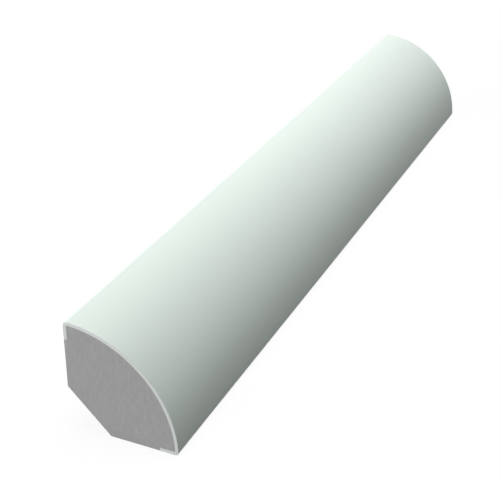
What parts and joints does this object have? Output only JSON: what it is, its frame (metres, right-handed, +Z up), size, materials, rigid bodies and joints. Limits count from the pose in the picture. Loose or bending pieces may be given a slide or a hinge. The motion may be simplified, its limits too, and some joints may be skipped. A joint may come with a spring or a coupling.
{
  "type": "quarter round moulding",
  "caption": "Foil-wrapped fibreboard strip of quarter-circle section with a chamfered back corner, fixed along the foot of a wall to cover its joint with the floor.",
  "frame": {"origin": "on the floor plane, midway along the length and midway between the wall face and the front tip", "axes": "+X along the length; +Y out of the wall face, so that the round faces -Y; +Z up from the floor face"},
  "size_m": [0.1524, 0.019, 0.019],
  "materials": {
    "fibreboard": "matte",
    "foil": "satin"
  },
  "bodies": {
    "root": {"fibreboard_core": "fibreboard", "decor_foil": "foil"}
  },
  "joints": []
}
